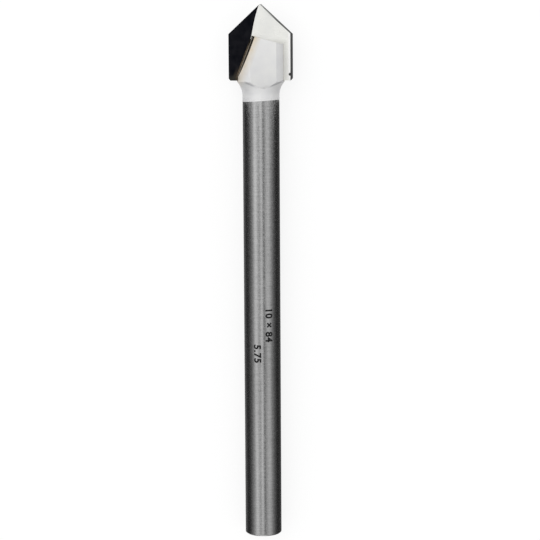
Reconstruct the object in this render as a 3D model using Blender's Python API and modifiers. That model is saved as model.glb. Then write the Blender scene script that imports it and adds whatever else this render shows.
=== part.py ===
"""Tile drill bit: a turned steel shank with a slotted head, a brazed carbide spear plate
and the braze film that holds it.

Each piece is drawn in the tool's own frame: Z runs along the axis from the shank's end
at 0 to the point at LENGTH, X runs across the plate and the front flat faces -Y. The head
has half-turn symmetry about Z, so every grind is made twice. An empty then lays the tool
down along world +Y, on its back flat and the rim of its shank.
"""

from math import atan, cos, pi, radians, sin, sqrt, tan

import bmesh
import bpy
from mathutils import Matrix, Vector

# Overall sizes
LENGTH = 0.0840
CUT_DIAMETER = 0.0100
SHANK_DIAMETER = 0.00575
HEAD_DIAMETER = 0.0074

# Shank end
END_CHAMFER = 0.0002

# Head: depths are measured down from the point
HEAD_SKIRT = 0.0002
NECK_FILLET_RADIUS = 0.0034
STEEL_TOP_DEPTH = 0.0052
STEEL_TOP_SLOPE = radians(15.5)
FLAT_RISE_SHARE = 0.27
FLAT_TURN = radians(7.0)

# Carbide plate
PLATE_THICKNESS = 0.0020
PLATE_DEPTH = 0.01174
PLATE_FOOT_CHAMFER = 0.0003
POINT_ANGLE = radians(95.1)
POINT_RELIEF = 0.15
SIDE_RELIEF = radians(21.5)

# Gash: the ground rake face, the wall at its inner side and the corner between them
RAKE_ANGLE = radians(16.0)
GASH_WALL_LEAN = radians(8.0)
GASH_CORNER_RADIUS = 0.0004
GASH_TOP_DEPTH = 0.00037
GASH_TOP_OFFSET = 0.00064
GASH_BEND_OFFSET = 0.00152
GASH_FOOT_OFFSET = 0.00400
GASH_TOP_LEAN = radians(19.0)
GASH_BEND_LEAN = radians(1.0)

# Braze film and the clearance on each of its faces
BRAZE_FILM = 0.00008
FIT_CLEARANCE = 0.00002

# Facets
TURN_STEPS = 72
FILLET_STEPS = 12
GASH_CURVE_STEPS = 8
GASH_CORNER_STEPS = 5
SHARP_ANGLE = radians(20.0)
MERGE_DISTANCE = 1e-7
REACH = 0.012

SHANK_RADIUS = SHANK_DIAMETER / 2
HEAD_RADIUS = HEAD_DIAMETER / 2
CUT_RADIUS = CUT_DIAMETER / 2
HALF_PLATE = PLATE_THICKNESS / 2
FLAT_DISTANCE = SHANK_RADIUS + FLAT_RISE_SHARE * (HEAD_RADIUS - SHANK_RADIUS)
NECK_START = PLATE_DEPTH + HEAD_SKIRT
HALF_TURNS = (0.0, pi)


def clear_scene():
    for old in list(bpy.data.objects):
        bpy.data.objects.remove(old, do_unlink=True)


def new_collection(name):
    collection = bpy.data.collections.new(name)
    bpy.context.scene.collection.children.link(collection)
    return collection


def new_material(name, colour, roughness, metallic):
    material = bpy.data.materials.new(name)
    material.use_nodes = True
    shader = material.node_tree.nodes["Principled BSDF"]
    shader.inputs["Base Color"].default_value = (*colour, 1.0)
    shader.inputs["Roughness"].default_value = roughness
    shader.inputs["Metallic"].default_value = metallic
    return material


def add_object(name, mesh, collection, material=None):
    obj = bpy.data.objects.new(name, mesh)
    collection.objects.link(obj)
    if material:
        mesh.materials.append(material)
    return obj


def box_mesh(name, low, high):
    """A box between two corners."""
    low = Vector(low)
    high = Vector(high)
    bm = bmesh.new()
    bmesh.ops.create_cube(bm, size=1.0)
    bmesh.ops.scale(bm, vec=high - low, verts=bm.verts)
    bmesh.ops.translate(bm, vec=(high + low) / 2, verts=bm.verts)
    mesh = bpy.data.meshes.new(name)
    bm.to_mesh(mesh)
    bm.free()
    return mesh


def evaluated_mesh(obj):
    """The object's mesh with its modifiers or its curve made real; the object goes."""
    graph = bpy.context.evaluated_depsgraph_get()
    mesh = bpy.data.meshes.new_from_object(obj.evaluated_get(graph))
    bpy.data.objects.remove(obj, do_unlink=True)
    return mesh


def outline_mesh(name, points, low, high):
    """A flat outline drawn in X and Z, given thickness along Y from low to high."""
    curve = bpy.data.curves.new(name, "CURVE")
    curve.dimensions = "2D"
    curve.fill_mode = "BOTH"
    curve.extrude = (high - low) / 2
    spline = curve.splines.new("POLY")
    spline.points.add(len(points) - 1)
    for spline_point, (x, z) in zip(spline.points, points):
        spline_point.co = (x, z, 0.0, 1.0)
    spline.use_cyclic_u = True
    drawn = bpy.data.objects.new(name, curve)
    bpy.context.scene.collection.objects.link(drawn)
    mesh = evaluated_mesh(drawn)
    bm = bmesh.new()
    bm.from_mesh(mesh)
    bmesh.ops.remove_doubles(bm, verts=bm.verts, dist=MERGE_DISTANCE)
    bmesh.ops.transform(
        bm,
        matrix=Matrix.Translation((0, (low + high) / 2, 0)) @ Matrix.Rotation(pi / 2, 4, "X"),
        verts=bm.verts,
    )
    bmesh.ops.recalc_face_normals(bm, faces=bm.faces)
    bm.to_mesh(mesh)
    bm.free()
    return mesh


def turned_mesh(name, profile):
    """A solid turned about Z from a profile that runs down its outer side."""
    mesh = bpy.data.meshes.new(name)
    edges = [(i, i + 1) for i in range(len(profile) - 1)]
    mesh.from_pydata([(radius, 0.0, level) for radius, level in profile], edges, [])
    blank = bpy.data.objects.new(name, mesh)
    bpy.context.scene.collection.objects.link(blank)
    screw = blank.modifiers.new("turn", "SCREW")
    screw.axis = "Z"
    screw.angle = 2 * pi
    screw.steps = TURN_STEPS
    screw.render_steps = TURN_STEPS
    screw.use_merge_vertices = True
    screw.merge_threshold = MERGE_DISTANCE
    turned = evaluated_mesh(blank)
    turned.shade_smooth()
    turned.set_sharp_from_angle(angle=SHARP_ANGLE)
    return turned


def as_cutter(obj):
    obj.hide_render = True
    obj.display_type = "WIRE"
    return obj


def cut(obj, cutter, operation="DIFFERENCE"):
    boolean = obj.modifiers.new(cutter.name, "BOOLEAN")
    boolean.operation = operation
    boolean.solver = "EXACT"
    boolean.object = cutter


def plane_cutter(name, point, normal, collection, size=REACH):
    """A block whose one face passes through point and which lies on the normal's side."""
    mesh = box_mesh(name, (-size, -size, 0.0), (size, size, size))
    cutter = as_cutter(add_object(name, mesh, collection))
    turn = Vector(normal).to_track_quat("Z", "Y").to_matrix().to_4x4()
    cutter.matrix_world = Matrix.Translation(point) @ turn
    return cutter


def half_turned(matrix, angle):
    return Matrix.Rotation(angle, 4, "Z") @ matrix


def height(depth):
    """The height above the shank's end of a depth below the point."""
    return LENGTH - depth


def neck_climb(rise):
    """How far up the neck's fillet its surface stands out from the shank by a rise."""
    return sqrt(NECK_FILLET_RADIUS**2 - (NECK_FILLET_RADIUS - rise) ** 2)


def neck_foot():
    return height(NECK_START) - neck_climb(HEAD_RADIUS - SHANK_RADIUS)


def neck_profile():
    """The concave fillet between head and shank, from the head's rim downwards."""
    rise = HEAD_RADIUS - SHANK_RADIUS
    sweep = atan(neck_climb(rise) / (NECK_FILLET_RADIUS - rise))
    foot = neck_foot()
    points = []
    for step in range(FILLET_STEPS + 1):
        angle = sweep * (1 - step / FILLET_STEPS)
        radius = SHANK_RADIUS + NECK_FILLET_RADIUS * (1 - cos(angle))
        points.append((radius, foot + NECK_FILLET_RADIUS * sin(angle)))
    return points


def flat_end_height():
    """Where the flats run out in the neck: the neck is as wide there as the flats."""
    return neck_foot() + neck_climb(FLAT_DISTANCE - SHANK_RADIUS)


def shank_profile():
    """The turned blank, from the centre of its top over its outer side to its end."""
    top = height(STEEL_TOP_DEPTH) + HEAD_RADIUS * tan(STEEL_TOP_SLOPE)
    points = [(0.0, top), (HEAD_RADIUS, top)]
    points += neck_profile()
    points.append((SHANK_RADIUS, END_CHAMFER))
    points.append((SHANK_RADIUS - END_CHAMFER, 0.0))
    points.append((0.0, 0.0))
    return points


def gash_outline():
    """The gash seen square to the plate: its inner side bends where the steel begins."""
    start = Vector((-GASH_TOP_OFFSET, GASH_TOP_DEPTH))
    end = Vector((-GASH_BEND_OFFSET, STEEL_TOP_DEPTH))
    foot = Vector((-GASH_FOOT_OFFSET, PLATE_DEPTH))
    reach = (end.y - start.y) / 3
    first = start + reach * Vector((-sin(GASH_TOP_LEAN), cos(GASH_TOP_LEAN)))
    second = end - reach * Vector((-sin(GASH_BEND_LEAN), cos(GASH_BEND_LEAN)))
    side = []
    for step in range(GASH_CURVE_STEPS + 1):
        t = step / GASH_CURVE_STEPS
        side.append(
            (1 - t) ** 3 * start
            + 3 * (1 - t) ** 2 * t * first
            + 3 * (1 - t) * t**2 * second
            + t**3 * end
        )
    above = start + Vector((tan(GASH_TOP_LEAN), -1.0)) * PLATE_THICKNESS
    below = foot + (foot - end).normalized() * PLATE_THICKNESS
    points = [above, *side, below, Vector((-REACH, below.y)), Vector((-REACH, above.y))]
    return [(point.x, height(point.y)) for point in points]


def gash_section():
    """The grinding wheel's corner and side: how far out and up each step goes."""
    lean = GASH_WALL_LEAN + RAKE_ANGLE
    sweep = pi / 2 - lean
    points = []
    for step in range(GASH_CORNER_STEPS + 1):
        angle = sweep * step / GASH_CORNER_STEPS
        out = GASH_CORNER_RADIUS * sin(angle)
        rise = GASH_CORNER_RADIUS * (1 - cos(angle))
        points.append(Vector((out, -rise, 0.0)))
    points.append(points[-1] + REACH * Vector((sin(lean), -cos(lean), 0.0)))
    return points


def gash_mesh(name):
    """The gash outline carried up the wheel's section, floor first."""
    mesh = outline_mesh(name, gash_outline(), -HALF_PLATE - REACH, -HALF_PLATE)
    bm = bmesh.new()
    bm.from_mesh(mesh)
    outer = [vert for vert in bm.verts if vert.co.y < -HALF_PLATE - REACH / 2]
    bmesh.ops.delete(bm, geom=outer, context="VERTS")
    section = gash_section()
    floor = bm.faces[:]
    layer = floor
    for last, point in zip(section, section[1:]):
        grown = bmesh.ops.extrude_face_region(bm, geom=layer)
        moved = [item for item in grown["geom"] if isinstance(item, bmesh.types.BMVert)]
        bmesh.ops.translate(bm, vec=point - last, verts=moved)
        if layer is not floor:
            bmesh.ops.delete(bm, geom=layer, context="FACES_ONLY")
        layer = [item for item in grown["geom"] if isinstance(item, bmesh.types.BMFace)]
    bmesh.ops.recalc_face_normals(bm, faces=bm.faces)
    bm.to_mesh(mesh)
    bm.free()
    return mesh


def gash_cutters(collection):
    """The rake grinds: notches tipped about the line where the steel wall stands."""
    bend = Vector((-GASH_BEND_OFFSET, -HALF_PLATE, height(STEEL_TOP_DEPTH)))
    foot = Vector((-GASH_FOOT_OFFSET, -HALF_PLATE, height(PLATE_DEPTH)))
    tip_over = (
        Matrix.Translation(bend)
        @ Matrix.Rotation(RAKE_ANGLE, 4, foot - bend)
        @ Matrix.Translation(-bend)
    )
    cutters = []
    for number, angle in enumerate(HALF_TURNS):
        name = f"cut_gash_{number + 1}"
        cutter = as_cutter(add_object(name, gash_mesh(name), collection))
        cutter.matrix_world = half_turned(tip_over, angle)
        cutters.append(cutter)
    return cutters


def flat_cutters(collection):
    """The two flats ground on the head, turned a little towards the heel side."""
    cutters = []
    for number, angle in enumerate(HALF_TURNS):
        normal = half_turned(Matrix.Rotation(FLAT_TURN, 4, "Z"), angle) @ Vector((0, -1, 0))
        point = normal * FLAT_DISTANCE + Vector((0, 0, height(STEEL_TOP_DEPTH)))
        cutters.append(plane_cutter(f"cut_flat_{number + 1}", point, normal, collection))
    return cutters


def steel_top_cutters(collection):
    """The top of each prong, which falls away from the cutting edge beside it."""
    cutters = []
    for number, angle in enumerate(HALF_TURNS):
        name = f"cut_prong_top_{number + 1}"
        mesh = box_mesh(name, (-REACH, -REACH, 0.0), (REACH, 0.0, REACH))
        cutter = as_cutter(add_object(name, mesh, collection))
        place = Matrix.Translation((0, 0, height(STEEL_TOP_DEPTH)))
        lean = Matrix.Rotation(STEEL_TOP_SLOPE, 4, "Y")
        cutter.matrix_world = half_turned(place @ lean, angle)
        cutters.append(cutter)
    return cutters


def slot_mesh(name, grow):
    """The plate's room in the head, larger than the plate by an allowance."""
    low = (-REACH, -HALF_PLATE - grow, height(PLATE_DEPTH) - grow)
    high = (REACH, HALF_PLATE + grow, LENGTH + REACH)
    return box_mesh(name, low, high)


def make_shank(parts, cutters, material, shared):
    shank = add_object("shank", turned_mesh("shank", shank_profile()), parts, material)
    allowance = BRAZE_FILM + 2 * FIT_CLEARANCE
    slot = as_cutter(add_object("cut_slot", slot_mesh("cut_slot", allowance), cutters))
    cut(shank, slot)
    for cutter in shared:
        cut(shank, cutter)


def make_braze(parts, cutters, material, shared):
    """The film fills the slot round the plate: two sides and the foot."""
    allowance = BRAZE_FILM + FIT_CLEARANCE
    braze = add_object("braze_seam", slot_mesh("braze_seam", allowance), parts, material)
    top = LENGTH + REACH / 2
    foot = height(NECK_START) - REACH / 2
    profile = [(0.0, top), (HEAD_RADIUS, top), (HEAD_RADIUS, foot), (0.0, foot)]
    barrel = add_object("keep_in_head", turned_mesh("keep_in_head", profile), cutters)
    cut(braze, as_cutter(barrel), "INTERSECT")
    room = add_object("cut_plate_room", slot_mesh("cut_plate_room", FIT_CLEARANCE), cutters)
    cut(braze, as_cutter(room))
    for cutter in shared:
        cut(braze, cutter)


def plate_blank():
    """The pressed plate before grinding, with its two lower corners broken."""
    side = CUT_RADIUS + HALF_PLATE
    foot = height(PLATE_DEPTH)
    inset = CUT_RADIUS - PLATE_FOOT_CHAMFER
    return [
        (-inset, foot),
        (inset, foot),
        (CUT_RADIUS, foot + PLATE_FOOT_CHAMFER),
        (side, foot + PLATE_FOOT_CHAMFER + HALF_PLATE),
        (side, LENGTH + HALF_PLATE),
        (-side, LENGTH + HALF_PLATE),
        (-side, foot + PLATE_FOOT_CHAMFER + HALF_PLATE),
        (-CUT_RADIUS, foot + PLATE_FOOT_CHAMFER),
    ]


def make_carbide(parts, cutters, material, gashes):
    """The spear plate: ground round, relieved at point and sides, then gashed."""
    mesh = outline_mesh("carbide_tip", plate_blank(), -HALF_PLATE, HALF_PLATE)
    carbide = add_object("carbide_tip", mesh, parts, material)
    top = LENGTH + REACH / 2
    foot = height(PLATE_DEPTH) - REACH / 2
    profile = [(0.0, top), (CUT_RADIUS, top), (CUT_RADIUS, foot), (0.0, foot)]
    barrel = add_object("keep_in_bore", turned_mesh("keep_in_bore", profile), cutters)
    cut(carbide, as_cutter(barrel), "INTERSECT")
    fall = 1 / tan(POINT_ANGLE / 2)
    margin = Vector((CUT_RADIUS, 0.0, height(PLATE_DEPTH)))
    for number, angle in enumerate(HALF_TURNS):
        turn = Matrix.Rotation(angle, 4, "Z")
        point_normal = turn @ Vector((fall, -POINT_RELIEF, 1.0)).normalized()
        point_name = f"cut_point_{number + 1}"
        cut(carbide, plane_cutter(point_name, (0, 0, LENGTH), point_normal, cutters))
        side_normal = turn @ Vector((cos(SIDE_RELIEF), -sin(SIDE_RELIEF), 0.0))
        side_name = f"cut_side_{number + 1}"
        cut(carbide, plane_cutter(side_name, turn @ margin, side_normal, cutters))
    for gash in gashes:
        cut(carbide, gash)


def lay_down(pieces):
    """The tool lies on the lower end of its back flat and on the rim of its shank."""
    span = flat_end_height() - END_CHAMFER
    tilt = atan((FLAT_DISTANCE - SHANK_RADIUS) / span)
    lift = SHANK_RADIUS * cos(tilt) - END_CHAMFER * sin(tilt)
    axis = bpy.data.objects.new("tool_axis", None)
    bpy.context.scene.collection.objects.link(axis)
    back = LENGTH / 2 * cos(tilt)
    axis.matrix_world = (
        Matrix.Translation((0, -back, lift))
        @ Matrix.Rotation(tilt - pi / 2, 4, "X")
        @ Matrix.Rotation(-FLAT_TURN, 4, "Z")
    )
    for piece in pieces:
        piece.parent = axis


def main():
    clear_scene()
    parts = new_collection("tile_drill_bit")
    cutters = new_collection("cutters")

    steel = new_material("ground_steel", (0.42, 0.42, 0.43), 0.32, 1.0)
    carbide_finish = new_material("ground_carbide", (0.30, 0.30, 0.32), 0.22, 1.0)
    braze_finish = new_material("braze_alloy", (0.55, 0.38, 0.18), 0.45, 1.0)

    gashes = gash_cutters(cutters)
    steel_cuts = flat_cutters(cutters) + steel_top_cutters(cutters) + gashes

    make_shank(parts, cutters, steel, steel_cuts)
    make_braze(parts, cutters, braze_finish, steel_cuts)
    make_carbide(parts, cutters, carbide_finish, gashes)
    lay_down(list(parts.objects) + list(cutters.objects))


main()
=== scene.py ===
"""Looks of the tile drill bit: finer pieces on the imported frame, a pale floor and soft light.

Every piece is drawn in the tool's own frame, as the frame model is: Z runs along the axis
from the shank's end to the point and the front faces -Y. It is then laid down along +Y.
"""

from math import atan, atan2, cos, degrees, pi, radians, sin, sqrt, tan

import bmesh
import bpy
from mathutils import Matrix, Vector


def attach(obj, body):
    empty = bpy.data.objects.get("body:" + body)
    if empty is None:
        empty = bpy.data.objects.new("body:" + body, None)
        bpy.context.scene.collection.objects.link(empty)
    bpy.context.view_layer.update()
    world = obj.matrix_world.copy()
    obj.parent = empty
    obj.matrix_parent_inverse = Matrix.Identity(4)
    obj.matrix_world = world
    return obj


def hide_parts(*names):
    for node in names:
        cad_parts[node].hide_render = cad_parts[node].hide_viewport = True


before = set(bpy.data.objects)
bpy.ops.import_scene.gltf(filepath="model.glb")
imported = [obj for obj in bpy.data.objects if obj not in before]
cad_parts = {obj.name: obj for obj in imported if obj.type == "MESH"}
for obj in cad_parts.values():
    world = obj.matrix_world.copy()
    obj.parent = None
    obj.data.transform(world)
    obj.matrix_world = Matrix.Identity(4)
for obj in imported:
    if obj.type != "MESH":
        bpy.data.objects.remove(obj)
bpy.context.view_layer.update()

# Sizes of the frame model, in metres
LENGTH = 0.0840
CUT_RADIUS = 0.0050
BARREL_RADIUS = 0.004997  # as far as the frame model's facets reach
SHANK_RADIUS = 0.002875
HEAD_RADIUS = 0.0037
END_CHAMFER = 0.0002
NECK_FILLET_RADIUS = 0.0034
STEEL_TOP_DEPTH = 0.0052
STEEL_TOP_SLOPE = radians(15.5)
FLAT_TURN = radians(7.0)
HALF_PLATE = 0.0010
PLATE_DEPTH = 0.01174
PLATE_FOOT_CHAMFER = 0.0003
POINT_ANGLE = radians(95.1)
POINT_RELIEF = 0.15
SIDE_RELIEF = radians(21.5)
RAKE_ANGLE = radians(16.0)
GASH_WALL_LEAN = radians(8.0)
GASH_CORNER_RADIUS = 0.0004
GASH_TOP = (-0.00064, 0.00037)
GASH_BEND = (-0.00152, STEEL_TOP_DEPTH)
GASH_FOOT = (-0.00400, PLATE_DEPTH)
GASH_TOP_LEAN = radians(19.0)
GASH_BEND_LEAN = radians(1.0)
BRAZE_FILM = 0.00008
FIT_CLEARANCE = 0.00002
FLAT_DISTANCE = SHANK_RADIUS + 0.27 * (HEAD_RADIUS - SHANK_RADIUS)
NECK_START = PLATE_DEPTH + 0.0002
HALF_TURNS = (0.0, pi)

# The run of braze along the wall of the gash: its size, how far it lies inside the wall, and
# which share of the wall it takes up
RUN_RADIUS = 0.00010
RUN_INSET = 0.00003
RUN_START = 0.02
RUN_SHARE = 0.93

# The plain figures on the shank: words, turn about the axis, depth below the point, lean
FIGURES = (
    ("10 × 84", radians(11), 0.0472, 0.0),
    ("5.75", radians(-27), 0.0530, 0.02),
)
FIGURE_SIZE = 0.00155
FIGURE_SPACING = 1.12
FIGURE_WEIGHT = 0.037  # a heavier one tears the 8
FIGURE_LIFT = 0.000003
FIGURE_HALF_FILM = 0.000002

# Where the satin finish of head and neck gives way to the ground shank
SATIN_DEPTH = 0.01485
SATIN_SLANT = 0.060

# The seam beside the gash on the lying tool
SEAM_LEAN = radians(20.6)
SEAM_OFFSET = 0.01448

# Small marks of finish, painted shade and painted highlights on the lying tool: each pair says
# where, in metres, a mark fades in or out; "across" and "along" are those of
# half_turn_position()
HEAT_FROM_SEAM = (0.0002, 0.0014)
HEAT_ALONG = (0.0315, 0.0360)
# Painted shade: a dark line where the ground head meets the neck
SHADE_LINE_CENTRE = -0.0002
SHADE_LINE_LEVEL = 0.02893
SHADE_LINE_RISE = 0.40
SHADE_LINE_TILT = -0.03
SHADE_LINE_WIDTH = (0.00006, 0.00022)
SHADE_LINE_FROM_CENTRE = (0.0009, 0.0016)
SHADE_LINE_ACROSS = (-0.0030, -0.0026)
# Painted shade on the plate's face beside the steel prong
PRONG_SHADE_ACROSS = (0.0036, 0.0041)
PRONG_SHADE_ALONG = (0.0361, 0.0367)
# Painted highlight along the margin
MARGIN_HIGHLIGHT_ACROSS = (0.00410, 0.00425)
# Painted dark reflection along the plate's side and point edges
SIDE_DARK_LINE_ACROSS = (0.00434, 0.00444)
LIP_DARK_LINE_WIDTH = (0.00043, 0.00048)
LIP_DARK_LINE_ACROSS = (0.0004, 0.0024)
FOOT_ACROSS = (-0.0036, -0.0034)
FOOT_ALONG = (0.0305, 0.0312)
RESIDUE_FROM_SEAM = (-0.0006, -0.0003)
RESIDUE_ALONG = (0.0306, 0.0326)
FLUX_ALONG = (0.0350, 0.0362)
# Painted highlight at the chisel
CHISEL_HIGHLIGHT_ALONG = (0.0414, 0.0417)
CHIP = Vector((0.00454, -HALF_PLATE, LENGTH - 0.0108))
CHIP_SIZE = (0.00018, 0.00028)

# Colours of those marks
STRAW = (0.88, 0.74, 0.53)
RESIDUE = (0.055, 0.045, 0.033)
# Painted dark reflection, used for the dark lines at the plate's side and point
PAINTED_DARK_EDGE = (0.12, 0.12, 0.12)

# The part of a noise's range that nearly all of its values fall in
NOISE_LOW = 0.3
NOISE_HIGH = 0.7

# Fineness
TURN_STEPS = 256
FILLET_STEPS = 24
GASH_CURVE_STEPS = 24
GASH_CORNER_STEPS = 12
REACH = 0.012
EDGE_BREAK = 0.00003
CLEAN_DISTANCE = 0.000004
JOIN_DISTANCE = 0.0000002
FIGURE_SLICES = 12
RUN_STEPS = 30


# Materials


def material(name, base, roughness, metallic=1.0):
    mat = bpy.data.materials.new(name)
    mat.use_nodes = True
    shader = mat.node_tree.nodes["Principled BSDF"]
    shader.inputs["Base Color"].default_value = (*base, 1.0)
    shader.inputs["Roughness"].default_value = roughness
    shader.inputs["Metallic"].default_value = metallic
    return mat


def lying_place(mat):
    """The place of a point on the lying tool."""
    return mat.node_tree.nodes.new("ShaderNodeTexCoord").outputs["Object"]


def noise(mat, scale, detail=3.0, stretch=(1.0, 1.0, 1.0), turn=(0.0, 0.0, 0.0)):
    """A noise of the given fineness in cycles per metre, drawn out along the axes."""
    nodes = mat.node_tree.nodes
    links = mat.node_tree.links
    place = nodes.new("ShaderNodeMapping")
    place.inputs["Scale"].default_value = stretch
    place.inputs["Rotation"].default_value = turn
    field = nodes.new("ShaderNodeTexNoise")
    field.inputs["Scale"].default_value = scale
    field.inputs["Detail"].default_value = detail
    links.new(lying_place(mat), place.inputs["Vector"])
    links.new(place.outputs["Vector"], field.inputs["Vector"])
    return field.outputs["Fac"]


def spread(mat, value, low, high, start=NOISE_LOW, end=NOISE_HIGH):
    """Maps a value, by default a noise, to the range from low to high."""
    node = mat.node_tree.nodes.new("ShaderNodeMapRange")
    node.inputs["From Min"].default_value = start
    node.inputs["From Max"].default_value = end
    node.inputs["To Min"].default_value = low
    node.inputs["To Max"].default_value = high
    mat.node_tree.links.new(value, node.inputs["Value"])
    return node.outputs["Result"]


def fade_in(mat, value, edge, top=1.0):
    return spread(mat, value, 0.0, top, *edge)


def fade_out(mat, value, edge, top=1.0):
    return spread(mat, value, top, 0.0, *edge)


def ramp(mat, value, stops):
    """Colours a value that runs from 0 to 1."""
    node = mat.node_tree.nodes.new("ShaderNodeValToRGB")
    elements = node.color_ramp.elements
    while len(elements) < len(stops):
        elements.new(0.5)
    for element, (place, colour) in zip(elements, stops):
        element.position = place
        element.color = (*colour, 1.0)
    mat.node_tree.links.new(value, node.inputs["Fac"])
    return node.outputs["Color"]


def clouded(mat, value, dark, light):
    """Colours a noise from dark to light."""
    return ramp(mat, value, [(NOISE_LOW, dark), (NOISE_HIGH, light)])


def maths(mat, operation, *values):
    """A math node on node outputs or plain numbers."""
    node = mat.node_tree.nodes.new("ShaderNodeMath")
    node.operation = operation
    for value, socket in zip(values, node.inputs):
        if isinstance(value, (int, float)):
            socket.default_value = value
        else:
            mat.node_tree.links.new(value, socket)
    return node.outputs["Value"]


def position(mat):
    """How far across, along and up a point of the lying tool is."""
    split = mat.node_tree.nodes.new("ShaderNodeSeparateXYZ")
    mat.node_tree.links.new(lying_place(mat), split.inputs["Vector"])
    return split.outputs["X"], split.outputs["Y"], split.outputs["Z"]


def half_turn_position(mat):
    """Across and along, counted alike on the front and on the half-turned back."""
    across, along, up = position(mat)
    side = maths(mat, "SIGN", maths(mat, "SUBTRACT", up, SHANK_RADIUS))
    return maths(mat, "MULTIPLY", across, side), along


def distance(mat, place):
    """How far a point of the lying tool is from a place."""
    node = mat.node_tree.nodes.new("ShaderNodeVectorMath")
    node.operation = "DISTANCE"
    node.inputs[1].default_value = place
    mat.node_tree.links.new(lying_place(mat), node.inputs[0])
    return node.outputs["Value"]


def tinted(mat, colour, tint, share, blend="MULTIPLY"):
    """The colour changed by a tint, as far as the share says."""
    node = mat.node_tree.nodes.new("ShaderNodeMix")
    node.data_type = "RGBA"
    node.blend_type = blend
    sockets = {socket.identifier: socket for socket in node.inputs}
    mat.node_tree.links.new(share, sockets["Factor_Float"])
    mat.node_tree.links.new(colour, sockets["A_Color"])
    sockets["B_Color"].default_value = (*tint, 1.0)
    return next(socket for socket in node.outputs if socket.identifier == "Result_Color")


def surface(mat, colour=None, roughness=None, height=None, depth=0.0):
    """Joins colour, roughness and bump to the shader; depth is in metres."""
    nodes = mat.node_tree.nodes
    links = mat.node_tree.links
    shader = nodes["Principled BSDF"]
    if colour:
        links.new(colour, shader.inputs["Base Color"])
    if roughness:
        links.new(roughness, shader.inputs["Roughness"])
    if height:
        bump = nodes.new("ShaderNodeBump")
        bump.inputs["Strength"].default_value = 1.0
        bump.inputs["Distance"].default_value = depth
        links.new(height, bump.inputs["Height"])
        links.new(bump.outputs["Normal"], shader.inputs["Normal"])
    return mat


def grey(level):
    return (level, level, level)


def ground_shank():
    """Centreless ground bar: rings across the axis, fine specks and a few long streaks."""
    mat = material("ground_shank", grey(0.45), 0.22)
    rings = noise(mat, 900.0, 4.0, (0.6, 9.0, 0.6))
    grain = noise(mat, 5200.0, 2.0, (1.0, 0.55, 1.0))
    streaks = noise(mat, 1500.0, 3.0, (1.0, 0.035, 1.0))
    relief = maths(mat, "ADD", rings, grain)
    # The sum of three noises is brought back to a share of one
    tone = spread(mat, maths(mat, "ADD", relief, streaks), 0.0, 1.0, 1.1, 1.9)
    colour = ramp(mat, tone, [(0.0, grey(0.34)), (0.5, grey(0.45)), (1.0, grey(0.56))])
    return surface(mat, colour, spread(mat, grain, 0.17, 0.29), relief, 0.0000012)


def seam_distance(mat):
    """How far a point lies to the steel's side of the seam beside the gash."""
    across, along = half_turn_position(mat)
    out = maths(mat, "MULTIPLY_ADD", across, cos(SEAM_LEAN), SEAM_OFFSET)
    return maths(mat, "MULTIPLY_ADD", along, -sin(SEAM_LEAN), out)


def heat_share(mat):
    """The straw tint that brazing left beside the seam, strongest at the seam's top."""
    near = fade_out(mat, seam_distance(mat), HEAT_FROM_SEAM)
    top = spread(mat, position(mat)[1], 0.75, 1.0, *HEAT_ALONG)
    cloud = spread(mat, noise(mat, 1400.0, 2.0), 0.6, 1.0)
    return maths(mat, "MULTIPLY", maths(mat, "MULTIPLY", near, top), cloud)


def shade_line_share(mat):
    """A painted dark line of shade where head and neck meet: two arms that rise outwards."""
    across, along = half_turn_position(mat)
    out = maths(mat, "ABSOLUTE", maths(mat, "SUBTRACT", across, SHADE_LINE_CENTRE))
    line = maths(mat, "MULTIPLY_ADD", out, SHADE_LINE_RISE, SHADE_LINE_LEVEL)
    line = maths(mat, "MULTIPLY_ADD", across, SHADE_LINE_TILT, line)
    away = maths(mat, "ABSOLUTE", maths(mat, "SUBTRACT", along, line))
    near = fade_out(mat, away, SHADE_LINE_WIDTH)
    arms = fade_in(mat, out, SHADE_LINE_FROM_CENTRE)
    end = fade_in(mat, across, SHADE_LINE_ACROSS)
    return maths(mat, "MULTIPLY", maths(mat, "MULTIPLY", near, arms), end)


def satin_steel():
    """Blasted head and neck: bright, fine and even, slightly clouded."""
    mat = material("satin_steel", grey(0.78), 0.5, 0.25)
    cloud = noise(mat, 500.0, 3.0)
    grain = noise(mat, 9000.0, 2.0)
    colour = clouded(mat, cloud, (0.73, 0.73, 0.74), (0.80, 0.80, 0.795))
    colour = tinted(mat, colour, STRAW, heat_share(mat))
    # Painted shade along the line where head and neck meet
    colour = tinted(mat, colour, (0.68, 0.68, 0.69), shade_line_share(mat))
    return surface(mat, colour, spread(mat, grain, 0.42, 0.6), grain, 0.000003)


def ground_flat():
    """The ground flats and prong tops: short lines across the head."""
    mat = material("ground_flat", grey(0.79), 0.36)
    lines = noise(mat, 1100.0, 3.0, (0.35, 9.0, 0.35))
    cloud = noise(mat, 400.0, 2.0)
    colour = clouded(mat, cloud, (0.81, 0.81, 0.815), (0.87, 0.87, 0.855))
    colour = tinted(mat, colour, STRAW, heat_share(mat))
    return surface(mat, colour, spread(mat, lines, 0.3, 0.44), lines, 0.0000015)


def gash_steel():
    """The wall of the gash, browned by the heat of brazing and painted dark for the shade on
    it.
    """
    # Heat tint and painted shade: the brown of the heat tint made dark
    mat = material("gash_steel", (0.07, 0.055, 0.04), 0.38)
    lines = noise(mat, 1200.0, 3.0, (6.0, 0.5, 1.0))
    cloud = noise(mat, 1500.0, 3.0)
    colour = clouded(mat, cloud, (0.05, 0.038, 0.028), (0.12, 0.094, 0.066))
    return surface(mat, colour, spread(mat, lines, 0.3, 0.5), lines, 0.0000015)


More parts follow.
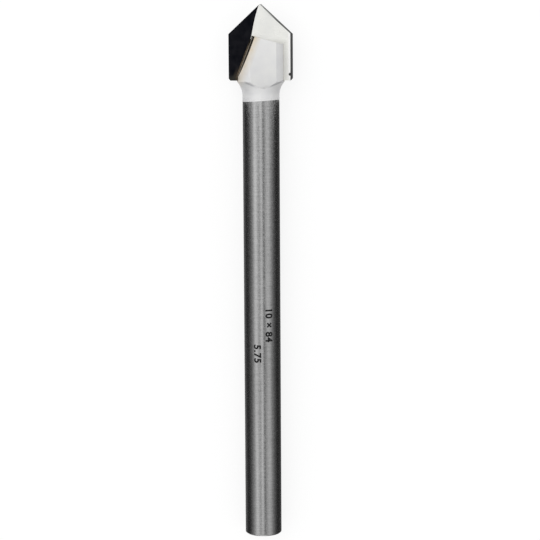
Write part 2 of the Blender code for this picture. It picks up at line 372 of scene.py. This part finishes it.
def carbide_face():
    """The plate's pressed and ground broad faces: painted shade beside the steel head, a
    painted highlight along the margin, painted dark lines at side and point for the dark
    reflection in the relief faces, brown residue at the foot of the gash, and a small chip."""
    mat = material("carbide_face", (0.84, 0.84, 0.82), 0.32)
    lines = noise(mat, 1300.0, 3.0, (1.0, 8.0, 1.0), (0.0, 0.0, radians(38)))
    cloud = noise(mat, 420.0, 2.0)
    colour = clouded(mat, cloud, (0.80, 0.80, 0.775), (0.88, 0.88, 0.84))
    across, along = half_turn_position(mat)
    # Painted shade: the plate's face darkened beside the steel prong
    prong_shade = maths(
        mat, "MULTIPLY", fade_out(mat, across, PRONG_SHADE_ACROSS), fade_out(mat, along, PRONG_SHADE_ALONG)
    )
    colour = tinted(mat, colour, (0.83, 0.83, 0.82), prong_shade)
    # Painted highlight: a near-white strip along the margin, where the edge catches the light
    margin = fade_in(mat, across, MARGIN_HIGHLIGHT_ACROSS)
    colour = tinted(mat, colour, (0.98, 0.98, 0.97), margin, "MIX")
    # Painted dark reflection: dark lines inside the side and point edges, like those the relief
    # faces show
    side = fade_in(mat, across, SIDE_DARK_LINE_ACROSS, 0.35)
    colour = tinted(mat, colour, PAINTED_DARK_EDGE, side, "MIX")
    edge = maths(mat, "MULTIPLY_ADD", across, -1 / tan(POINT_ANGLE / 2), LENGTH / 2)
    lip_dark_line = fade_out(mat, maths(mat, "SUBTRACT", edge, along), LIP_DARK_LINE_WIDTH)
    lip_dark_line = maths(mat, "MULTIPLY", lip_dark_line, fade_in(mat, across, LIP_DARK_LINE_ACROSS))
    colour = tinted(mat, colour, PAINTED_DARK_EDGE, lip_dark_line, "MIX")
    colour = tinted(mat, colour, RESIDUE, fade_out(mat, across, FOOT_ACROSS), "MIX")
    chip = fade_out(mat, distance(mat, lying() @ CHIP), CHIP_SIZE)
    colour = tinted(mat, colour, (0.05, 0.05, 0.05), chip, "MIX")
    return surface(mat, colour, spread(mat, lines, 0.26, 0.4), lines, 0.0000012)


def carbide_rake():
    """The polished rake face, painted almost black for the dark reflection it shows, with a
    little residue low beside the seam.
    """
    # Painted dark reflection: the almost black base colour and its cloud
    mat = material("carbide_rake", (0.007, 0.0075, 0.010), 0.2)
    lines = noise(mat, 1500.0, 2.0, (1.0, 7.0, 1.0), (0.0, 0.0, radians(-20)))
    cloud = noise(mat, 900.0, 2.0)
    colour = clouded(mat, cloud, (0.004, 0.0045, 0.0065), (0.011, 0.011, 0.0135))
    along = position(mat)[1]
    beside_seam = fade_in(mat, seam_distance(mat), RESIDUE_FROM_SEAM)
    low = fade_out(mat, along, RESIDUE_ALONG, 0.8)
    colour = tinted(mat, colour, RESIDUE, maths(mat, "MULTIPLY", beside_seam, low), "MIX")
    foot = fade_out(mat, along, FOOT_ALONG)
    colour = tinted(mat, colour, (0.028, 0.028, 0.025), foot, "MIX")
    return surface(mat, colour, spread(mat, lines, 0.15, 0.28), lines, 0.0000008)


def carbide_relief():
    """The relief grinds behind the edges, painted dark for the dark reflection they show: dark
    lines along the grind, and a painted highlight at the chisel.
    """
    # Painted dark reflection: the dark base colour of the relief faces
    mat = material("carbide_relief", (0.11, 0.11, 0.11), 0.32)
    shader = mat.node_tree.nodes["Principled BSDF"]
    shader.inputs["Specular Tint"].default_value = (*grey(0.3), 1.0)
    lines = noise(mat, 2200.0, 3.0, (3.0, 0.4, 3.0))
    colour = clouded(mat, lines, (0.095, 0.095, 0.098), (0.155, 0.155, 0.152))
    # Painted highlight at the chisel
    chisel_highlight = fade_in(mat, position(mat)[1], CHISEL_HIGHLIGHT_ALONG)
    colour = tinted(mat, colour, (0.85, 0.85, 0.84), chisel_highlight, "MIX")
    return surface(mat, colour, spread(mat, lines, 0.22, 0.36), lines, 0.0000012)


def braze_film():
    """The braze between plate and slot, ground flush with the steel."""
    mat = material("braze_film", (0.62, 0.58, 0.50), 0.36)
    cloud = noise(mat, 2600.0, 3.0)
    colour = clouded(mat, cloud, (0.50, 0.45, 0.38), (0.68, 0.64, 0.56))
    return surface(mat, colour, spread(mat, cloud, 0.28, 0.5), cloud, 0.000003)


def braze_run():
    """The run of braze in the gash: brown, painted darker for the shade in the gash's corner,
    and dark where flux stayed on it.
    """
    # Painted shade: the braze's brown made dark in the corner of the gash
    mat = material("braze_run", (0.13, 0.10, 0.07), 0.42)
    cloud = noise(mat, 2600.0, 3.0)
    colour = clouded(mat, cloud, (0.055, 0.040, 0.028), (0.20, 0.155, 0.105))
    flux = fade_in(mat, position(mat)[1], FLUX_ALONG)
    colour = tinted(mat, colour, (0.02, 0.016, 0.012), flux, "MIX")
    return surface(mat, colour, spread(mat, cloud, 0.3, 0.55), cloud, 0.000006)


def mark_ink():
    """Dark laser marking, slightly uneven."""
    mat = material("mark_dark", (0.012, 0.012, 0.013), 0.55, 0.0)
    shader = mat.node_tree.nodes["Principled BSDF"]
    shader.inputs["Specular IOR Level"].default_value = 0.12
    grain = noise(mat, 7000.0, 2.0)
    colour = clouded(mat, grain, (0.006, 0.006, 0.0065), (0.020, 0.020, 0.021))
    return surface(mat, colour, spread(mat, grain, 0.45, 0.7))


# Mesh building


def scene_object(name, mesh):
    obj = bpy.data.objects.new(name, mesh)
    bpy.context.scene.collection.objects.link(obj)
    return obj


def evaluated_mesh(obj):
    """The object's mesh with its modifiers or its curve made real; the object goes."""
    graph = bpy.context.evaluated_depsgraph_get()
    mesh = bpy.data.meshes.new_from_object(obj.evaluated_get(graph))
    bpy.data.objects.remove(obj, do_unlink=True)
    return mesh


def finished_mesh(name, bm):
    mesh = bpy.data.meshes.new(name)
    bm.to_mesh(mesh)
    bm.free()
    return mesh


def drop(objects):
    for obj in objects:
        bpy.data.objects.remove(obj, do_unlink=True)


def join_points(bm):
    """Joins points that lie on one another and drops the faces that this leaves empty."""
    bmesh.ops.remove_doubles(bm, verts=bm.verts, dist=JOIN_DISTANCE)
    bmesh.ops.dissolve_degenerate(bm, edges=bm.edges, dist=JOIN_DISTANCE)


def box_mesh(name, low, high):
    low = Vector(low)
    high = Vector(high)
    bm = bmesh.new()
    bmesh.ops.create_cube(bm, size=1.0)
    bmesh.ops.scale(bm, vec=high - low, verts=bm.verts)
    bmesh.ops.translate(bm, vec=(high + low) / 2, verts=bm.verts)
    return finished_mesh(name, bm)


def outline_mesh(name, points, low, high):
    """A flat outline drawn in X and Z, given thickness along Y from low to high."""
    bm = bmesh.new()
    face = bm.faces.new([bm.verts.new((x, low, z)) for x, z in points])
    grown = bmesh.ops.extrude_face_region(bm, geom=[face])
    moved = [item for item in grown["geom"] if isinstance(item, bmesh.types.BMVert)]
    bmesh.ops.translate(bm, vec=(0, high - low, 0), verts=moved)
    bmesh.ops.recalc_face_normals(bm, faces=bm.faces)
    return finished_mesh(name, bm)


def turned_mesh(name, profile):
    """A solid turned about Z from a profile that runs down its outer side."""
    mesh = bpy.data.meshes.new(name)
    edges = [(i, i + 1) for i in range(len(profile) - 1)]
    mesh.from_pydata([(radius, 0.0, level) for radius, level in profile], edges, [])
    blank = scene_object(name, mesh)
    screw = blank.modifiers.new("turn", "SCREW")
    screw.axis = "Z"
    screw.angle = 2 * pi
    screw.steps = TURN_STEPS
    screw.render_steps = TURN_STEPS
    screw.use_merge_vertices = True
    screw.merge_threshold = 1e-7
    return evaluated_mesh(blank)


def solid(name, mesh, mat, matrix=None):
    """An object of one material; used as a blank or as a cutter."""
    mesh.materials.clear()
    mesh.materials.append(mat)
    obj = scene_object(name, mesh)
    if matrix:
        obj.matrix_world = matrix
    return obj


def cut(obj, cutter, operation="DIFFERENCE"):
    """The cut faces keep the material of the cutter."""
    boolean = obj.modifiers.new(cutter.name, "BOOLEAN")
    boolean.operation = operation
    boolean.solver = "EXACT"
    boolean.material_mode = "TRANSFER"
    boolean.object = cutter


def plane_cutter(name, point, normal, mat):
    """A block whose one face passes through point and which lies on the normal's side."""
    turn = Vector(normal).to_track_quat("Z", "Y").to_matrix().to_4x4()
    mesh = box_mesh(name, (-REACH, -REACH, 0.0), (REACH, REACH, REACH))
    return solid(name, mesh, mat, Matrix.Translation(point) @ turn)


def half_turned(matrix, angle):
    return Matrix.Rotation(angle, 4, "Z") @ matrix


def height(depth):
    """The height above the shank's end of a depth below the point."""
    return LENGTH - depth


def on_plate(point):
    """A place on the plate's front face, from its X and its depth."""
    return Vector((point[0], -HALF_PLATE, height(point[1])))


def finish_edges(obj, width, limit=radians(24)):
    """Breaks the sharp edges, so that they catch light as real ones do."""
    mesh = evaluated_mesh(obj)
    bm = bmesh.new()
    bm.from_mesh(mesh)
    bmesh.ops.remove_doubles(bm, verts=bm.verts, dist=CLEAN_DISTANCE)
    bmesh.ops.dissolve_degenerate(bm, edges=bm.edges, dist=CLEAN_DISTANCE)
    bm.to_mesh(mesh)
    bm.free()
    mesh.shade_smooth()
    worked = scene_object(mesh.name, mesh)
    bevel = worked.modifiers.new("edges", "BEVEL")
    bevel.width = width
    bevel.segments = 2
    bevel.limit_method = "ANGLE"
    bevel.angle_limit = limit
    bevel.use_clamp_overlap = False
    bevel.harden_normals = True
    return evaluated_mesh(worked)


# The tool's shape


def neck_drop():
    rise = HEAD_RADIUS - SHANK_RADIUS
    return sqrt(NECK_FILLET_RADIUS**2 - (NECK_FILLET_RADIUS - rise) ** 2)


def shank_profile():
    """The turned blank, from the centre of its top over its outer side to its end."""
    top = height(STEEL_TOP_DEPTH) + HEAD_RADIUS * tan(STEEL_TOP_SLOPE)
    points = [(0.0, top), (HEAD_RADIUS, top)]
    drop = neck_drop()
    sweep = atan(drop / (NECK_FILLET_RADIUS - HEAD_RADIUS + SHANK_RADIUS))
    foot = height(NECK_START) - drop
    for step in range(FILLET_STEPS + 1):
        angle = sweep * (1 - step / FILLET_STEPS)
        radius = SHANK_RADIUS + NECK_FILLET_RADIUS * (1 - cos(angle))
        points.append((radius, foot + NECK_FILLET_RADIUS * sin(angle)))
    points.append((SHANK_RADIUS, END_CHAMFER))
    points.append((SHANK_RADIUS - END_CHAMFER, 0.0))
    points.append((0.0, 0.0))
    return points


def gash_side():
    """The inner side of the gash, seen square to the plate: X and depth."""
    start = Vector(GASH_TOP)
    end = Vector(GASH_BEND)
    reach = (end.y - start.y) / 3
    first = start + reach * Vector((-sin(GASH_TOP_LEAN), cos(GASH_TOP_LEAN)))
    second = end - reach * Vector((-sin(GASH_BEND_LEAN), cos(GASH_BEND_LEAN)))
    side = []
    for step in range(GASH_CURVE_STEPS + 1):
        t = step / GASH_CURVE_STEPS
        side.append(
            (1 - t) ** 3 * start
            + 3 * (1 - t) ** 2 * t * first
            + 3 * (1 - t) * t**2 * second
            + t**3 * end
        )
    return side


def gash_section():
    """The grinding wheel's corner and side: how far out and up each step goes."""
    lean = GASH_WALL_LEAN + RAKE_ANGLE
    sweep = pi / 2 - lean
    points = []
    for step in range(GASH_CORNER_STEPS + 1):
        angle = sweep * step / GASH_CORNER_STEPS
        out = GASH_CORNER_RADIUS * sin(angle)
        rise = GASH_CORNER_RADIUS * (1 - cos(angle))
        points.append(Vector((out, -rise, 0.0)))
    points.append(points[-1] + REACH * Vector((sin(lean), -cos(lean), 0.0)))
    return points


def gash_mesh(name):
    """The gash outline carried up the wheel's section, floor first."""
    side = gash_side()
    start = side[0]
    end = side[-1]
    foot = Vector(GASH_FOOT)
    above = start + Vector((tan(GASH_TOP_LEAN), -1.0)) * 2 * HALF_PLATE
    below = foot + (foot - end).normalized() * 2 * HALF_PLATE
    ring = [above, *side, below, Vector((-REACH, below.y)), Vector((-REACH, above.y))]
    bm = bmesh.new()
    floor = [bm.faces.new([bm.verts.new(on_plate(point)) for point in ring])]
    section = gash_section()
    layer = floor
    for last, point in zip(section, section[1:]):
        grown = bmesh.ops.extrude_face_region(bm, geom=layer)
        moved = [item for item in grown["geom"] if isinstance(item, bmesh.types.BMVert)]
        bmesh.ops.translate(bm, vec=point - last, verts=moved)
        if layer is not floor:
            bmesh.ops.delete(bm, geom=layer, context="FACES_ONLY")
        layer = [item for item in grown["geom"] if isinstance(item, bmesh.types.BMFace)]
    bmesh.ops.recalc_face_normals(bm, faces=bm.faces)
    return finished_mesh(name, bm)


def gash_cutters(mat):
    bend = on_plate(GASH_BEND)
    foot = on_plate(GASH_FOOT)
    tip_over = (
        Matrix.Translation(bend)
        @ Matrix.Rotation(RAKE_ANGLE, 4, foot - bend)
        @ Matrix.Translation(-bend)
    )
    cutters = []
    for number, angle in enumerate(HALF_TURNS):
        name = f"gash_{mat.name}_{number}"
        cutters.append(solid(name, gash_mesh(name), mat, half_turned(tip_over, angle)))
    return cutters


def flat_cutters(mat):
    cutters = []
    for number, angle in enumerate(HALF_TURNS):
        normal = half_turned(Matrix.Rotation(FLAT_TURN, 4, "Z"), angle) @ Vector((0, -1, 0))
        point = normal * FLAT_DISTANCE + Vector((0, 0, height(STEEL_TOP_DEPTH)))
        cutters.append(plane_cutter(f"flat_{number}", point, normal, mat))
    return cutters


def prong_top_cutters(mat):
    cutters = []
    for number, angle in enumerate(HALF_TURNS):
        place = Matrix.Translation((0, 0, height(STEEL_TOP_DEPTH)))
        lean = Matrix.Rotation(STEEL_TOP_SLOPE, 4, "Y")
        mesh = box_mesh(f"prong_top_{number}", (-REACH, -REACH, 0.0), (REACH, 0.0, REACH))
        cutters.append(solid(mesh.name, mesh, mat, half_turned(place @ lean, angle)))
    return cutters


def slot_mesh(name, grow):
    """The plate's room in the head, larger than the plate by an allowance."""
    low = (-REACH, -HALF_PLATE - grow, height(PLATE_DEPTH) - grow)
    high = (REACH, HALF_PLATE + grow, LENGTH + REACH)
    return box_mesh(name, low, high)


def make_shank(satin, flat, wall, ground):
    shank = solid("bit_shank", turned_mesh("bit_shank", shank_profile()), satin)
    slot = solid("slot", slot_mesh("slot", BRAZE_FILM + 2 * FIT_CLEARANCE), satin)
    cutters = [slot] + flat_cutters(flat) + prong_top_cutters(flat) + gash_cutters(wall)
    for cutter in cutters:
        cut(shank, cutter)
    mesh = finish_edges(shank, EDGE_BREAK)
    drop(cutters)
    mesh.materials.append(ground)
    bm = bmesh.new()
    bm.from_mesh(mesh)
    line = Vector((0, 0, height(SATIN_DEPTH)))
    normal = Vector((-SATIN_SLANT, 0, 1)).normalized()
    bmesh.ops.bisect_plane(
        bm, geom=bm.verts[:] + bm.edges[:] + bm.faces[:], plane_co=line, plane_no=normal
    )
    join_points(bm)
    last = len(mesh.materials) - 1
    for face in bm.faces:
        if (face.calc_center_median() - line).dot(normal) < 0:
            face.material_index = last
    bm.to_mesh(mesh)
    bm.free()
    return mesh


def make_carbide(broad, rake, relief):
    side = CUT_RADIUS + HALF_PLATE
    foot = height(PLATE_DEPTH)
    inset = CUT_RADIUS - PLATE_FOOT_CHAMFER
    outline = [
        (-inset, foot),
        (inset, foot),
        (CUT_RADIUS, foot + PLATE_FOOT_CHAMFER),
        (side, foot + PLATE_FOOT_CHAMFER + HALF_PLATE),
        (side, LENGTH + HALF_PLATE),
        (-side, LENGTH + HALF_PLATE),
        (-side, foot + PLATE_FOOT_CHAMFER + HALF_PLATE),
        (-CUT_RADIUS, foot + PLATE_FOOT_CHAMFER),
    ]
    blank = outline_mesh("bit_carbide", outline, -HALF_PLATE, HALF_PLATE)
    carbide = solid("bit_carbide", blank, broad)
    top = LENGTH + REACH / 2
    low = foot - REACH / 2
    profile = [(0.0, top), (BARREL_RADIUS, top), (BARREL_RADIUS, low), (0.0, low)]
    barrel = solid("barrel", turned_mesh("barrel", profile), relief)
    cut(carbide, barrel, "INTERSECT")
    cutters = [barrel]
    fall = 1 / tan(POINT_ANGLE / 2)
    margin = Vector((CUT_RADIUS, 0.0, foot))
    for number, angle in enumerate(HALF_TURNS):
        turn = Matrix.Rotation(angle, 4, "Z")
        point_normal = turn @ Vector((fall, -POINT_RELIEF, 1.0)).normalized()
        side_normal = turn @ Vector((cos(SIDE_RELIEF), -sin(SIDE_RELIEF), 0.0))
        cutters.append(plane_cutter(f"point_{number}", (0, 0, LENGTH), point_normal, relief))
        cutters.append(plane_cutter(f"side_{number}", turn @ margin, side_normal, relief))
    cutters += gash_cutters(rake)
    for cutter in cutters[1:]:
        cut(carbide, cutter)
    mesh = finish_edges(carbide, EDGE_BREAK / 2, radians(12))
    drop(cutters)
    return mesh


def bead_mesh(name, points, radius):
    """A thin run of braze along a seam, which swells and thins a little."""
    curve = bpy.data.curves.new(name, "CURVE")
    curve.dimensions = "3D"
    curve.bevel_depth = radius
    curve.bevel_resolution = 3
    curve.use_fill_caps = True
    spline = curve.splines.new("POLY")
    spline.points.add(len(points) - 1)
    for number, (spline_point, point) in enumerate(zip(spline.points, points)):
        spline_point.co = (*point, 1.0)
        spline_point.radius = 0.8 + 0.2 * sin(number * 1.9) * sin(number * 0.7)
    return evaluated_mesh(scene_object(name, curve))


def make_braze(mat, run):
    """The film between plate and slot, and the thin run it leaves along the open seams."""
    braze = solid("bit_braze", slot_mesh("bit_braze", BRAZE_FILM + FIT_CLEARANCE), mat)
    top = LENGTH + REACH / 2
    foot = height(NECK_START) - REACH / 2
    profile = [(0.0, top), (HEAD_RADIUS, top), (HEAD_RADIUS, foot), (0.0, foot)]
    cutters = [
        solid("head_room", turned_mesh("head_room", profile), mat),
        solid("plate_room", slot_mesh("plate_room", FIT_CLEARANCE), mat),
    ]
    cut(braze, cutters[0], "INTERSECT")
    cutters += flat_cutters(mat) + prong_top_cutters(mat) + gash_cutters(run)
    for cutter in cutters[1:]:
        cut(braze, cutter)
    film = finish_edges(braze, EDGE_BREAK / 3)
    drop(cutters)
    bm = bmesh.new()
    bm.from_mesh(film)
    inset = Vector((0, RUN_INSET, 0))
    wall = []
    for step in range(RUN_STEPS + 1):
        share = RUN_START + RUN_SHARE * step / RUN_STEPS
        wall.append(on_plate(GASH_BEND).lerp(on_plate(GASH_FOOT), share) + inset)
    for angle in HALF_TURNS:
        mesh = bead_mesh("wall_run", wall, RUN_RADIUS)
        mesh.transform(Matrix.Rotation(angle, 4, "Z"))
        film_faces = len(bm.faces)
        bm.from_mesh(mesh)
        for face in list(bm.faces)[film_faces:]:
            face.material_index = 1
        bpy.data.meshes.remove(mesh)
    join_points(bm)
    bm.to_mesh(film)
    bm.free()
    return film


def wrapped_text(name, words, turn, depth, lean):
    """Plain figures on the shank: they read towards its end, their tops to the right."""
    half = FIGURE_SIZE / 4
    curve = bpy.data.curves.new(name, "FONT")
    curve.body = words
    curve.size = FIGURE_SIZE
    curve.space_character = FIGURE_SPACING
    curve.offset = FIGURE_SIZE * FIGURE_WEIGHT
    curve.extrude = half
    mesh = evaluated_mesh(scene_object(name, curve))
    bm = bmesh.new()
    bm.from_mesh(mesh)
    join_points(bm)
    bmesh.ops.triangulate(bm, faces=bm.faces)
    for step in range(-2, FIGURE_SLICES + 2):
        bmesh.ops.bisect_plane(
            bm,
            geom=bm.verts[:] + bm.edges[:] + bm.faces[:],
            plane_co=(0, FIGURE_SIZE * step / FIGURE_SLICES, 0),
            plane_no=(0, 1, 0),
        )
    join_points(bm)
    # Turned outwards while it is still thick, and then thinned to a film
    bmesh.ops.recalc_face_normals(bm, faces=bm.faces)
    for vert in bm.verts:
        x, y, z = vert.co
        angle = turn + (y + lean * x) / SHANK_RADIUS
        reach = SHANK_RADIUS + FIGURE_LIFT + FIGURE_HALF_FILM * z / half
        vert.co = (reach * sin(angle), -reach * cos(angle), height(depth) - x)
    bm.to_mesh(mesh)
    bm.free()
    return mesh


def joined(name, meshes):
    bm = bmesh.new()
    for mesh in meshes:
        bm.from_mesh(mesh)
    return finished_mesh(name, bm)


# Laying down


def flat_end_height():
    """Where the flats run out in the neck."""
    out = FLAT_DISTANCE - SHANK_RADIUS
    climb = sqrt(NECK_FILLET_RADIUS**2 - (NECK_FILLET_RADIUS - out) ** 2)
    return height(NECK_START) - neck_drop() + climb


def lying():
    """The tool lies on the lower end of its back flat and on the rim of its shank."""
    span = flat_end_height() - END_CHAMFER
    tilt = atan((FLAT_DISTANCE - SHANK_RADIUS) / span)
    lift = SHANK_RADIUS * cos(tilt) - END_CHAMFER * sin(tilt)
    return (
        Matrix.Translation((0, -LENGTH / 2 * cos(tilt), lift))
        @ Matrix.Rotation(tilt - pi / 2, 4, "X")
        @ Matrix.Rotation(-FLAT_TURN, 4, "Z")
    )


def piece(name, mesh, replaced=None):
    mesh.transform(lying())
    obj = scene_object(name, mesh)
    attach(obj, "root")
    if replaced:
        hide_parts(replaced)
    return obj


def make_tool():
    shank = make_shank(satin_steel(), ground_flat(), gash_steel(), ground_shank())
    piece("bit_shank", shank, "shank")
    carbide = make_carbide(carbide_face(), carbide_rake(), carbide_relief())
    piece("bit_carbide", carbide, "carbide_tip")
    piece("bit_braze", make_braze(braze_film(), braze_run()), "braze_seam")
    figures = joined("size_figures", [wrapped_text("figures", *line) for line in FIGURES])
    figures.materials.append(mark_ink())
    piece("size_figures", figures)


# Floor, light and camera

# The floor's brightness for rays that see it and for others, and its own glow for the first
FLOOR_SEEN = 0.24
FLOOR_UNSEEN = 0.36
FLOOR_GLOW = 0.78
FLOOR_HALF = 4.0

# How much of the light on the floor comes from the lamp, where the lamp stands, and how broad
# it is
LAMP_SHARE = 0.17
LAMP_PLACE = Vector((-0.5, 0.5, 0.7)).normalized()
LAMP_SPREAD = radians(60)

# The tent of cards round the shank: an arch, with two level wings from its feet to the shank
CARD_RADIUS = 0.060
CARD_MIDDLE = 0.0029
CARD_NEAR = 0.0032
CARD_FOOT = 0.0004
CARD_START = -0.110
CARD_END = 0.0270
CARD_DIMMING = 0.8
ARCH_STEPS = 180
WING_STEPS = 12

# Soft strips of light on the arch: the angle at which each stands and how far it fades to
# each side, both in degrees to the right of straight up, and how bright it is
STRIP_BASE = 0.04
STRIP_TURN = 5.0
STRIPS = (
    (-150, 50, 0.50),
    (-72, 26, 0.15),
    (-58, 18, 0.32),
    (-42, 18, 1.05),
    (-24, 20, 0.69),
    (-4, 15, 1.15),
    (22, 18, 0.58),
    (40, 20, 0.80),
    (58, 20, 0.32),
    (76, 22, 0.10),
    (150, 50, 0.17),
)

# The camera, as fitted to the outline in the photo
CAMERA_LENS = 128.03
CAMERA_SENSOR = 36.0
CAMERA_CLIP = 0.01
CAMERA_PLACE = Matrix(
    (
        (0.991913, 0.022883, -0.124837, -0.036561),
        (-0.005989, 0.990955, 0.134061, 0.041055),
        (0.126776, -0.132229, 0.983078, 0.300903),
        (0.0, 0.0, 0.0, 1.0),
    )
)


def bare_material(name):
    mat = bpy.data.materials.new(name)
    mat.use_nodes = True
    mat.node_tree.nodes.clear()
    return mat


def seen_directly(owner):
    """One for rays that show a thing itself, also in metal or glass, and zero for others."""
    ray = owner.node_tree.nodes.new("ShaderNodeLightPath")
    seen = maths(owner, "ADD", ray.outputs["Is Camera Ray"], ray.outputs["Is Glossy Ray"])
    seen = maths(owner, "ADD", seen, ray.outputs["Is Transmission Ray"])
    return maths(owner, "MINIMUM", seen, 1.0)


def make_floor():
    """A plain white floor that keeps the tool's soft shadow."""
    mat = bare_material("floor_white")
    nodes = mat.node_tree.nodes
    links = mat.node_tree.links
    matt = nodes.new("ShaderNodeBsdfDiffuse")
    seen = seen_directly(mat)
    tone = maths(mat, "MULTIPLY_ADD", seen, FLOOR_SEEN - FLOOR_UNSEEN, FLOOR_UNSEEN)
    links.new(tone, matt.inputs["Color"])
    glow = nodes.new("ShaderNodeEmission")
    both = nodes.new("ShaderNodeAddShader")
    out = nodes.new("ShaderNodeOutputMaterial")
    links.new(maths(mat, "MULTIPLY", seen, FLOOR_GLOW), glow.inputs["Strength"])
    links.new(matt.outputs["BSDF"], both.inputs[0])
    links.new(glow.outputs["Emission"], both.inputs[1])
    links.new(both.outputs["Shader"], out.inputs["Surface"])
    mesh = bpy.data.meshes.new("floor")
    low, high = -FLOOR_HALF, FLOOR_HALF
    corners = [(low, low, 0), (high, low, 0), (high, high, 0), (low, high, 0)]
    mesh.from_pydata(corners, [], [(0, 1, 2, 3)])
    mesh.materials.append(mat)
    floor = scene_object("floor", mesh)


def make_world():
    world = bpy.data.worlds.new("studio")
    bpy.context.scene.world = world
    world.use_nodes = True
    back = world.node_tree.nodes["Background"]
    back.inputs["Color"].default_value = (1.0, 1.0, 1.0, 1.0)
    strength = maths(world, "MULTIPLY_ADD", seen_directly(world), LAMP_SHARE, 1 - LAMP_SHARE)
    world.node_tree.links.new(strength, back.inputs["Strength"])


def make_lamp():
    """A broad soft light from the left and beyond the point; it shows in no mirror."""
    data = bpy.data.lights.new("soft_lamp", "SUN")
    data.energy = pi * LAMP_SHARE / LAMP_PLACE.z
    data.angle = LAMP_SPREAD
    lamp = bpy.data.objects.new("soft_lamp", data)
    lamp.matrix_world = LAMP_PLACE.to_track_quat("Z", "Y").to_matrix().to_4x4()
    lamp.visible_glossy = False
    bpy.context.scene.collection.objects.link(lamp)


def make_cards():
    """A long tent of cards round the shank, which only mirrors see."""
    mat = bare_material("shank_cards")
    nodes = mat.node_tree.nodes
    links = mat.node_tree.links
    mat.cycles.emission_sampling = "NONE"
    glow = nodes.new("ShaderNodeEmission")
    out = nodes.new("ShaderNodeOutputMaterial")
    tone = nodes.new("ShaderNodeVertexColor")
    tone.layer_name = "tone"
    links.new(tone.outputs["Color"], glow.inputs["Color"])
    links.new(glow.outputs["Emission"], out.inputs["Surface"])
    width = CARD_RADIUS - CARD_NEAR
    wing = [CARD_NEAR + width * step / WING_STEPS for step in range(WING_STEPS)]
    section = [(-x, CARD_FOOT) for x in wing]
    for step in range(ARCH_STEPS + 1):
        angle = pi * step / ARCH_STEPS - pi / 2
        section.append((CARD_RADIUS * sin(angle), CARD_MIDDLE + CARD_RADIUS * cos(angle)))
    section += [(x, CARD_FOOT) for x in reversed(wing)]
    verts = [(x, y, z) for y in (CARD_START, CARD_END) for x, z in section]
    count = len(section)
    faces = [(i, i + 1, count + i + 1, count + i) for i in range(count - 1)]
    mesh = bpy.data.meshes.new("shank_cards")
    mesh.from_pydata(verts, [], faces)
    layer = mesh.color_attributes.new("tone", "FLOAT_COLOR", "POINT")
    for number, (x, y, z) in enumerate(verts):
        level = card_level(x, z - CARD_MIDDLE)
        if y == CARD_START:
            level *= CARD_DIMMING
        layer.data[number].color = (level, level, level, 1.0)
    mesh.materials.append(mat)
    cards = scene_object("shank_cards", mesh)
    cards.visible_camera = False
    cards.visible_diffuse = False
    cards.visible_transmission = False
    cards.visible_volume_scatter = False
    cards.visible_shadow = False


def card_level(x, z):
    """The light of all strips at a place round the shank."""
    angle = degrees(atan2(x, z)) + STRIP_TURN
    level = STRIP_BASE
    for middle, fade, bright in STRIPS:
        if abs(angle - middle) < fade:
            level += bright * (0.5 + 0.5 * cos(pi * (angle - middle) / fade))
    return level


def make_camera():
    data = bpy.data.cameras.new("camera")
    data.lens = CAMERA_LENS
    data.sensor_width = CAMERA_SENSOR
    data.clip_start = CAMERA_CLIP
    camera = bpy.data.objects.new("camera", data)
    bpy.context.scene.collection.objects.link(camera)
    camera.matrix_world = CAMERA_PLACE
    bpy.context.scene.camera = camera


make_camera()
make_tool()
make_floor()
make_world()
make_lamp()
make_cards()
bpy.context.scene.view_settings.view_transform = "Standard"
